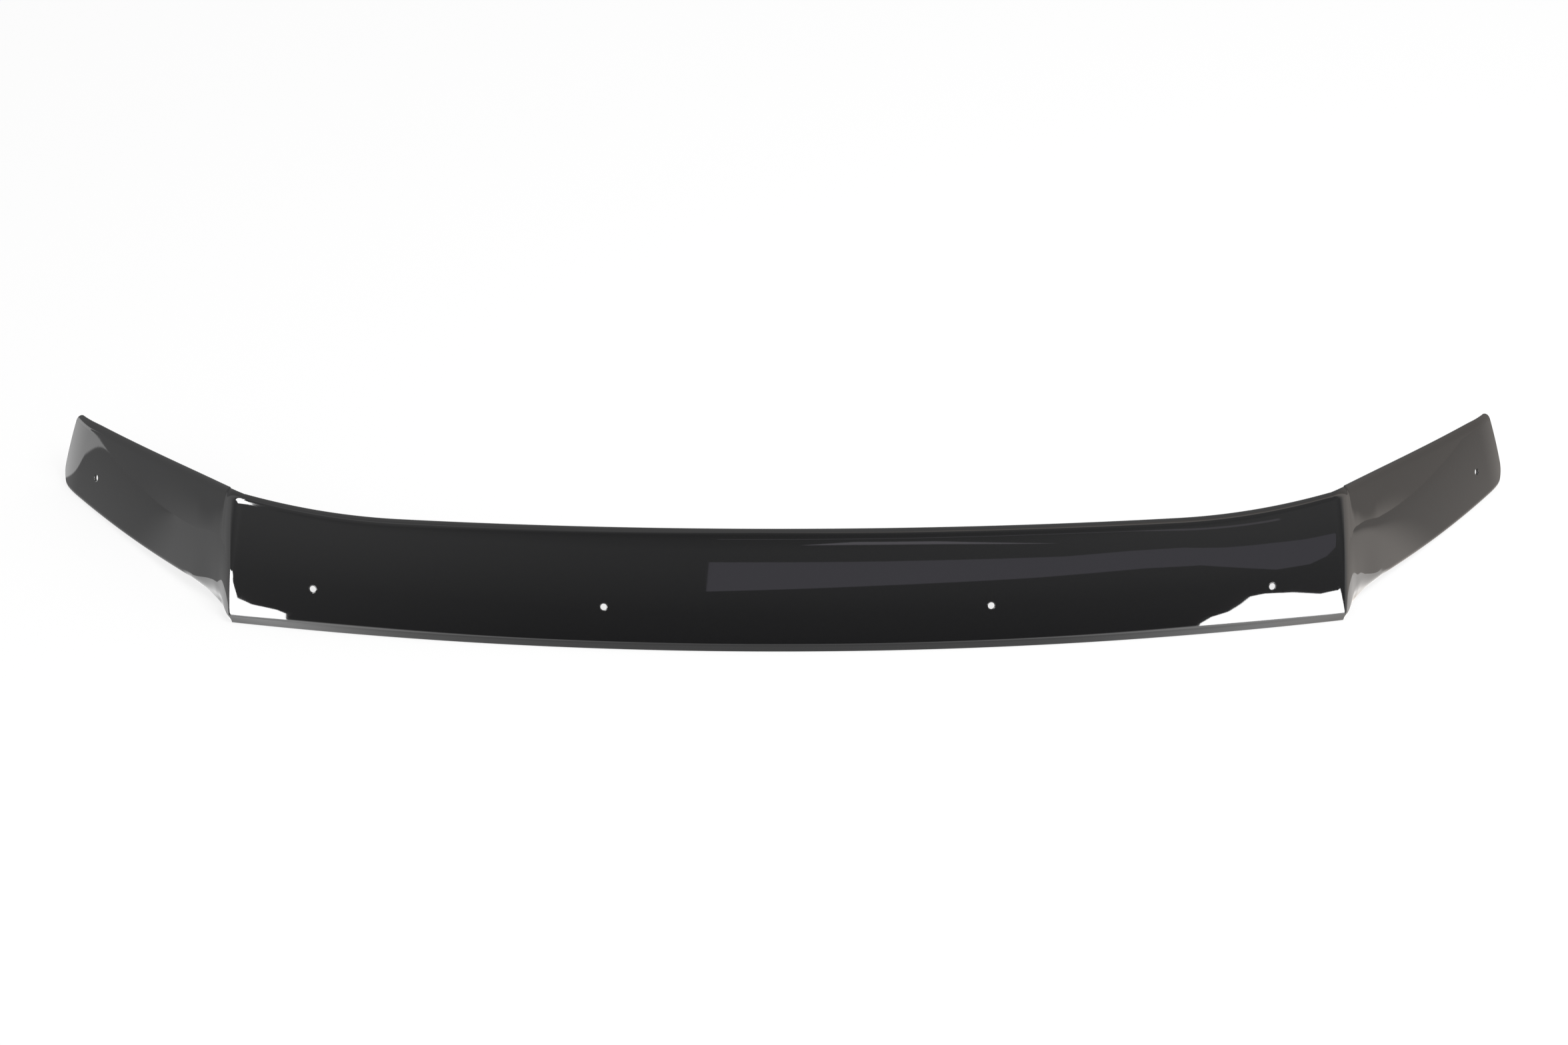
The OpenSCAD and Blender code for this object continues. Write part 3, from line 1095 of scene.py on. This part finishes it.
        sheet = bench.wire("GeometryNodeSetMaterial", {}, {"Geometry": sheet, "Material": material})
        bench.node("NodeGroupOutput", {}, {"Sheet": sheet})

    def apply_to(self, blank: bpy.types.Object) -> bpy.types.Mesh:
        """Forms a blank and takes the result off it as a plain mesh.

        Args:
            blank: The flat blank.

        Returns:
            The formed mesh.
        """
        modifier = blank.modifiers.new("Form the sheet", "NODES")
        modifier.node_group = self.tree
        for identifier, value in self.values.items():
            modifier[identifier] = value
        graph = bpy.context.evaluated_depsgraph_get()
        formed = bpy.data.meshes.new_from_object(blank.evaluated_get(graph), depsgraph=graph)
        blank.modifiers.remove(modifier)
        return formed


@dataclass(frozen=True)
class Waves:
    """One layer of unevenness in a skin: its length and height in metres, and how fine it gets."""

    length: float
    height: float
    detail: float


@dataclass(frozen=True)
class GlossBlackAcrylic:
    """Near-black acrylic sheet: a polished skin, slight waves from forming, and duller cut edges."""

    tone: float = 0.0084
    tone_spread: float = 0.002
    blue: float = 1.06
    ior: float = 1.49
    polish: float = 0.018
    polish_spread: float = 0.02
    smear_from: float = 0.45
    edge_tone: float = 0.012
    edge_roughness: float = 0.3
    edge_depth: float = 0.5
    sheet_t: float = 3.0
    cloud_length: float = 0.35
    cloud_detail: float = 2.0
    smear_length: float = 0.09
    smear_detail: float = 3.0
    waves: tuple[Waves, ...] = (Waves(0.16, 0.00006, 0.6), Waves(0.004, 0.0000006, 1.0))

    def noise(self, where: Wire, length: float, detail: float) -> Wire:
        """Soft clouds of values from 0 to 1, of a length in metres and with a fineness."""
        plugs: Plugs = {"Vector": where, "Scale": 1 / length, "Detail": detail}
        return where.bench.wire("ShaderNodeTexNoise", {}, plugs, "Fac")

    def make(self, name: str) -> bpy.types.Material:
        """Makes the material.

        Args:
            name: Its name.

        Returns:
            The material.
        """
        made = bpy.data.materials.new(name)
        bench = empty_tree(made)
        where = bench.wire("ShaderNodeTexCoord", {}, {}, "Object")
        depth = bench.wire("ShaderNodeAttribute", {"attribute_name": "blank"}, {}, "Vector").parts()[2]
        rim = (-depth / self.edge_depth).within(0.0, 1.0)
        rim = rim * ((depth + self.sheet_t) / self.edge_depth).within(0.0, 1.0)
        cloud = self.noise(where, self.cloud_length, self.cloud_detail)
        smear = self.noise(where, self.smear_length, self.smear_detail)
        smear = (smear - self.smear_from).at_least(0.0)
        tone = self.tone + (cloud - 0.5) * self.tone_spread + rim * self.edge_tone
        skin: Plugs = {
            "Base Color": bench.vector(tone, tone, tone * self.blue),
            "Roughness": self.polish + smear * self.polish_spread + rim * self.edge_roughness,
            "IOR": self.ior,
        }
        for waves in self.waves:
            height = self.noise(where, waves.length, waves.detail)
            bump: Plugs = {"Strength": 1.0, "Distance": waves.height, "Height": height}
            if "Normal" in skin:
                bump["Normal"] = skin["Normal"]
            skin["Normal"] = bench.wire("ShaderNodeBump", {}, bump)
        surface = bench.wire("ShaderNodeBsdfPrincipled", {}, skin)
        bench.node("ShaderNodeOutputMaterial", {}, {"Surface": surface})
        return made


@dataclass
class DeflectorSheet:
    """The one-piece formed sheet, with its six screw holes."""

    sizes: SheetSizes = field(default_factory=SheetSizes)
    finish: GlossBlackAcrylic = field(default_factory=GlossBlackAcrylic)
    face_hole_x: tuple[float, ...] = (-435.0, -169.0, 183.0, 443.0)
    left_hole_inset: float = 59.0
    right_hole_inset: float = 49.0

    def holes(self) -> list[ScrewHole]:
        """Places the sheet's screw holes.

        Returns:
            The holes, on the face and then on the wings.
        """
        sizes = self.sizes
        made = []
        for x in self.face_hole_x:
            run = sizes.face_plan_r * math.asin(abs(x) / sizes.face_plan_r)
            made.append(ScrewHole(Side.LEFT if x < 0 else Side.RIGHT, run, sizes.face_hole_up))
        made.append(ScrewHole(Side.LEFT, sizes.tip_run - self.left_hole_inset, sizes.tip_hole_up))
        made.append(ScrewHole(Side.RIGHT, sizes.tip_run - self.right_hole_inset, sizes.tip_hole_up))
        return made

    def build(self) -> bpy.types.Object:
        """Cuts the blank, forms it and dresses it.

        Returns:
            The finished sheet.
        """
        material = self.finish.make("Gloss black acrylic")
        blank = link("sheet_blank", FlatBlank(self.sizes, self.holes()).mesh("sheet_blank"))
        formed = FormingTree(self.sizes, material).apply_to(blank)
        bpy.data.objects.remove(blank)
        formed.name = "formed_sheet"
        sheet = link("formed_sheet", formed)
        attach(sheet, "root")
        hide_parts("shield")
        return sheet


@dataclass(frozen=True)
class Card:
    """A glowing card in front of the object that only reflections show."""

    name: str
    outline: tuple[tuple[float, float], ...]
    colour: tuple[float, float, float]
    strength: float


WHITE, MAUVE, LILAC = (1.0, 1.0, 1.0), (0.9, 0.87, 1.0), (0.95, 0.91, 1.0)
CARDS: tuple[Card, ...] = (
    Card(
        "soft_left",
        (
            (-1.58, 1.0), (-1.6, 1.13), (-1.64, 1.17), (-1.69, 1.195), (-1.745, 1.22), (-1.79, 1.27),
            (-1.83, 1.33), (-1.89, 1.4), (-1.96, 1.49), (-2.01, 1.57), (-2.5, 1.68), (-4.6, 1.8), (-4.6, 1.0),
        ),
        WHITE,
        26.0,
    ),
    Card(
        "soft_right",
        (
            (1.36, 0.98), (1.37, 1.05), (1.42, 1.13), (1.49, 1.185), (1.55, 1.28), (1.6, 1.375), (1.66, 1.4),
            (1.77, 1.38), (1.87, 1.325), (1.93, 1.35), (2.0, 1.375), (2.02, 1.27), (2.03, 1.18), (2.02, 0.98),
        ),
        WHITE,
        26.0,
    ),
    Card(
        "high_left",
        (
            (-1.93, 2.97), (-1.98, 2.87), (-2.41, 2.89), (-3.42, 3.01), (-5.1, 3.9), (-6.0, 9.7),
            (-4.7, 17.2), (-3.1, 8.6), (-2.23, 5.7), (-2.0, 3.75),
        ),
        WHITE,
        26.0,
    ),
    Card(
        "wide_right",
        (
            (-0.22, 1.72), (-0.22, 2.2), (0.33, 2.205), (1.04, 2.225), (1.3, 2.29), (1.5, 2.31), (1.64, 2.25),
            (1.8, 2.22), (1.94, 2.18), (2.13, 2.18), (2.09, 2.05), (2.03, 1.94), (1.98, 1.84), (1.9, 1.76),
            (1.76, 1.745), (1.5, 1.95), (1.3, 1.95), (0.9, 1.87), (0.33, 1.8),
        ),
        MAUVE,
        0.98,
    ),
    Card(
        "streak",
        ((0.1, 2.525), (0.3, 2.59), (0.6, 2.585), (1.05, 2.49), (0.6, 2.525), (0.3, 2.53)),
        LILAC,
        1.7,
    ),
    Card(
        "line",
        (
            (-0.2, 2.69), (0.4, 2.72), (1.1, 2.78), (1.9, 2.7),
            (1.9, 2.655), (1.1, 2.74), (0.4, 2.68), (-0.2, 2.66),
        ),
        LILAC,
        1.15,
    ),
)


@dataclass(frozen=True)
class MirroredSide:
    """What the gloss mirrors on one side of the object: brightness of the floor and the room."""

    floor: float
    floor_near: float
    pool: float
    pool_r: float
    beside: float
    beside_end: float
    front: float
    room: float
    room_near: float
    room_turn: float
    room_soft: float


MIRRORED_LEFT = MirroredSide(
    floor=0.9, floor_near=0.6, pool=6.5, pool_r=0.07, beside=3.3, beside_end=0.66,
    front=0.22, room=0.88, room_near=0.62, room_turn=97.0, room_soft=3.0,
)
MIRRORED_RIGHT = MirroredSide(
    floor=1.12, floor_near=1.0, pool=4.0, pool_r=0.12, beside=2.7, beside_end=0.685,
    front=0.132, room=1.12, room_near=1.02, room_turn=97.9, room_soft=1.2,
)


@dataclass(frozen=True)
class Mirrored:
    """Brightness of surroundings that only reflections show, from the object's left to its right."""

    warmth: tuple[float, float, float] = (1.08, 1.0, 0.93)

    def by_side(self, name: str, right: Wire) -> Wire:
        """A value of the left side at 0 and of the right side at 1."""
        return between(getattr(MIRRORED_LEFT, name), getattr(MIRRORED_RIGHT, name), right)

    def tint(self, share: Wire) -> Wire:
        """White at 0 and the warm light's colour at 1."""
        return share.bench.vector(*(between(1.0, part, share) for part in self.warmth))


@dataclass(frozen=True)
class MirroredFloor(Mirrored):
    """The mirrored floor: painted reflection, glow patches that only reflections see. Each pair is where a soft
    step starts, in metres, and how long it is.
    """

    right_x: tuple[float, float] = (0.2, 0.25)
    near_x: tuple[float, float] = (0.45, 0.15)
    near_y: tuple[float, float] = (0.07, -0.055)
    near_slant: float = 0.1
    pool_x: float = 0.5
    pool_y: float = -0.15
    pool_back: tuple[float, float] = (-0.08, -0.04)
    beside_x: tuple[float, float] = (0.53, 0.02)
    beside_soft: float = 0.006
    beside_front: tuple[float, float] = (-0.125, 0.02)
    beside_back: tuple[float, float] = (-0.032, -0.01)
    panel: float = 2.4
    panel_x: tuple[float, float] = (-0.69, -0.01)
    panel_y: tuple[float, float] = (0.14, 0.004)
    panel_slant: float = 0.135
    panel_pivot: float = 0.78
    warm_x: float = 0.45

    def brightness(self, x: Wire, y: Wire) -> Wire:
        """Painted reflection: glow that only glossy rays see, brightest beside the folds and at the left tip.

        Args:
            x: Place on the floor, across.
            y: Place on the floor, front to back.

        Returns:
            The brightness, as a colour.
        """
        aside, right = abs(x), x.stepped(*self.right_x)
        near = (y - self.near_slant * (aside - 1.0)).stepped(*self.near_y) * aside.stepped(*self.near_x)
        level = self.by_side("floor", right) + self.by_side("floor_near", right) * near
        far = (aside - self.pool_x) ** 2.0 + (y - self.pool_y) ** 2.0
        far = far / self.by_side("pool_r", right) ** 2.0
        pool = self.by_side("pool", right) / (1.0 + far) * y.stepped(*self.pool_back)
        ended = aside.stepped(self.by_side("beside_end", right), self.beside_soft)
        beside = aside.stepped(*self.beside_x) * (1.0 - ended)
        beside = beside * y.stepped(*self.beside_front) * y.stepped(*self.beside_back)
        pool = pool + self.by_side("beside", right) * beside
        slanted = y + self.panel_slant * (x + self.panel_pivot)
        panel = x.stepped(*self.panel_x) * slanted.stepped(*self.panel_y)
        return self.tint(x.above(self.warm_x)) * level + (pool + self.panel * panel)


@dataclass(frozen=True)
class MirroredRoom(Mirrored):
    """The mirrored room. Each pair is where a soft step starts, in degrees, and how long it is.

    Directions are turned from the front, to either side, and rise from the floor's level.
    front_rise lists rises and the brightness that they have above the front.
    """

    front_rise: tuple[tuple[float, float], ...] = (
        (21.0, 0.1), (24.0, 0.12), (30.0, 0.18), (34.0, 0.26), (40.0, 0.36),
        (44.0, 0.4), (47.0, 0.3), (50.0, 0.25), (66.0, 0.25), (80.0, 0.38),
    )
    front_turn: float = 28.0
    front_most: float = 1.3
    low: float = 1.3
    low_growth: float = 4.5
    low_most: float = 1.2
    low_beyond: float = 1.5
    low_turn: tuple[float, float] = (32.0, 4.0)
    low_rise: tuple[float, float] = (21.5, -1.5)
    panel: float = 2.5
    panel_turn: tuple[float, float] = (97.8, 0.4)
    panel_rise: tuple[float, float] = (14.0, -3.0)
    panel_slant: float = 0.33
    side_turn: tuple[float, float] = (60.0, 25.0)
    back_turn: tuple[float, float] = (130.0, 20.0)

    def brightness(self, way: Wire) -> Wire:
        """Dim above the front, brighter low down and at the sides.

        Args:
            way: The direction that is looked in.

        Returns:
            The brightness, as a colour.
        """
        x, y, z = way.parts()
        turn = way.bench.calc("ARCTAN2", x, -y) * (180 / math.pi)
        rise = z.arcsine() * (180 / math.pi)
        aside, right = abs(turn), turn.above(0.0)
        part = aside / self.front_turn
        stops = [(angle / 90, level) for angle, level in self.front_rise]
        front = way.bench.wire("ShaderNodeValToRGB", {"stops": stops}, {"Fac": rise / 90}).parts()[0]
        front = front + self.by_side("front", right) * part.within(0.0, self.front_most) ** 2.0
        low = self.low + self.low_growth * part.within(0.0, self.low_most) ** 2.0
        low = between(low, self.low_beyond, aside.stepped(*self.low_turn))
        front = between(front, low, rise.stepped(*self.low_rise))
        panel = (aside - self.panel_slant * rise).stepped(*self.panel_turn)
        panel = panel * rise.stepped(*self.panel_rise) * (1.0 - right)
        near = (self.by_side("room_turn", right) - aside) / self.by_side("room_soft", right)
        side = self.by_side("room", right) + self.by_side("room_near", right) * near.eased()
        sideways = aside.stepped(*self.side_turn)
        behind = aside.stepped(*self.back_turn)
        level = between(between(front, side + self.panel * panel, sideways), 1.0, behind)
        return self.tint(turn.stepped(*self.side_turn) * (1.0 - behind)) * level


@dataclass
class Studio:
    """Pale floor, white surroundings, a soft lamp and the cards that the gloss reflects."""

    floor_tone: float = 0.93
    floor_glow: float = 1.1
    floor_share: float = 0.68
    floor_half: float = 14.0
    mirror_share: float = 0.85
    fill: float = 0.62
    key_energy: float = 34.0
    key_size: tuple[float, float] = (1.6, 1.2)
    key_place: tuple[float, float, float] = (1.1, -1.2, 2.3)
    card_y: float = -2.5
    cards: tuple[Card, ...] = CARDS
    floor: MirroredFloor = field(default_factory=MirroredFloor)
    room: MirroredRoom = field(default_factory=MirroredRoom)

    def ray_kinds(self, bench: NodeBench) -> tuple[Wire, Wire]:
        """Whether a ray comes from the camera, and whether from a reflection."""
        rays = bench.node("ShaderNodeLightPath", {}, {})
        return Wire(bench, rays.outputs["Is Camera Ray"]), Wire(bench, rays.outputs["Is Glossy Ray"])

    def face(self, name: str, outline: Corners, material: bpy.types.Material) -> bpy.types.Object:
        """Adds a flat face.

        Args:
            name: Its name.
            outline: Its corners, in order.
            material: Its material.

        Returns:
            Its object.
        """
        mesh = bpy.data.meshes.new(name)
        mesh.from_pydata(outline, [], [range(len(outline))])
        mesh.materials.append(material)
        return link(name, mesh)

    def lay_floor(self) -> bpy.types.Object:
        """Lays a wide pale floor that keeps the object's soft shadow.

        Returns:
            The floor.
        """
        material = bpy.data.materials.new("Pale floor")
        bench = empty_tree(material)
        camera, glossy = self.ray_kinds(bench)
        x, y, _ = bench.wire("ShaderNodeTexCoord", {}, {}, "Object").parts()
        matte = bench.wire("ShaderNodeBsdfDiffuse", {}, {"Color": (*[self.floor_tone] * 3, 1.0)})
        # Glossy rays see mostly the painted reflection glow patches of the floor; the rest is the lit matte floor.
        tone = between(self.floor_glow, self.floor.brightness(x, y), glossy)
        glow = bench.wire("ShaderNodeEmission", {}, {"Color": tone, "Strength": 1.0})
        share = camera * self.floor_share + glossy * self.mirror_share
        mixed = bench.wire("ShaderNodeMixShader", {}, {0: share, 1: matte, 2: glow})
        bench.node("ShaderNodeOutputMaterial", {}, {"Surface": mixed})
        half = self.floor_half
        outline = [(-half, -half, 0), (half, -half, 0), (half, half, 0), (-half, half, 0)]
        floor = self.face("floor", outline, material)
        return floor

    def light_world(self) -> None:
        """Sets the surroundings: white behind the object, an even fill, and the mirrored room."""
        world = bpy.data.worlds.new("Surroundings")
        bench = empty_tree(world)
        camera, glossy = self.ray_kinds(bench)
        room = self.room.brightness(bench.wire("ShaderNodeTexCoord", {}, {}, "Generated"))
        tone = between(between(self.fill, 1.0, camera), room, glossy)
        glow = bench.wire("ShaderNodeBackground", {}, {"Color": tone, "Strength": 1.0})
        bench.node("ShaderNodeOutputWorld", {}, {"Surface": glow})
        bpy.context.scene.world = world

    def hang_lamp(self) -> bpy.types.Object:
        """Hangs the broad key lamp in front to the right: the soft shadow falls back to the left.

        Returns:
            The lamp.
        """
        data = bpy.data.lights.new("key", "AREA")
        data.shape = "RECTANGLE"
        (data.size, data.size_y), data.energy = self.key_size, self.key_energy
        lamp = link("key", data)
        place = Vector(self.key_place)
        turn = (-place).to_track_quat("-Z", "Y").to_matrix().to_4x4()
        lamp.matrix_world = Matrix.Translation(place) @ turn
        lamp.visible_glossy = False
        return lamp

    def hang_card(self, card: Card) -> bpy.types.Object:
        """Hangs a card that only glossy rays see.

        Args:
            card: The card.

        Returns:
            Its object.
        """
        material = bpy.data.materials.new(card.name)
        bench = empty_tree(material)
        glow = bench.wire("ShaderNodeEmission", {}, {"Color": (*card.colour, 1.0), "Strength": card.strength})
        bench.node("ShaderNodeOutputMaterial", {}, {"Surface": glow})
        made = self.face(card.name, [(x, self.card_y, z) for x, z in card.outline], material)
        made.visible_camera = made.visible_diffuse = made.visible_shadow = False
        made.visible_transmission = made.visible_volume_scatter = False
        return made

    def build(self) -> list[bpy.types.Object]:
        """Sets up the whole studio.

        Returns:
            The floor, the lamp and the cards.
        """
        self.light_world()
        bpy.context.scene.view_settings.view_transform = "Standard"
        return [self.lay_floor(), self.hang_lamp(), *(self.hang_card(card) for card in self.cards)]


@dataclass(frozen=True)
class PhotoCamera:
    """The camera at the photograph's viewing angle."""

    target: tuple[float, float, float] = (-0.00482, -0.05585, 0.08026)
    distance: float = 3.0
    yaw: float = -1.1923
    elevation: float = 35.51
    roll: float = -0.6028
    lens: float = 75.133
    sensor: float = 36.0

    def place(self) -> bpy.types.Object:
        """Places the camera and makes it the scene's.

        Returns:
            The camera.
        """
        yaw, rise, roll = (math.radians(a) for a in (self.yaw, self.elevation, self.roll))
        back = Vector((math.sin(yaw) * math.cos(rise), -math.cos(yaw) * math.cos(rise), math.sin(rise)))
        right = Vector((math.cos(yaw), math.sin(yaw), 0))
        up = right.cross(-back)
        right, up = right * math.cos(roll) - up * math.sin(roll), right * math.sin(roll) + up * math.cos(roll)
        data = bpy.data.cameras.new("camera")
        data.lens, data.sensor_width, data.sensor_fit = self.lens, self.sensor, "HORIZONTAL"
        camera = link("camera", data)
        turn = Matrix((right, up, back)).transposed().to_4x4()
        camera.matrix_world = Matrix.Translation(Vector(self.target) + back * self.distance) @ turn
        bpy.context.scene.camera = camera
        return camera


def main() -> None:
    """Builds the deflector, its studio and its camera."""
    logging.basicConfig(level=logging.INFO, format="%(message)s")
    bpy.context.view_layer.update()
    sheet = DeflectorSheet().build()
    LOG.info("%s: %d vertices, %d faces", sheet.name, len(sheet.data.vertices), len(sheet.data.polygons))
    for piece in Studio().build():
        LOG.info("studio: %s", piece.name)
    camera = PhotoCamera().place()
    LOG.info("camera: %.1f mm lens", camera.data.lens)


if __name__ == "__main__":
    main()
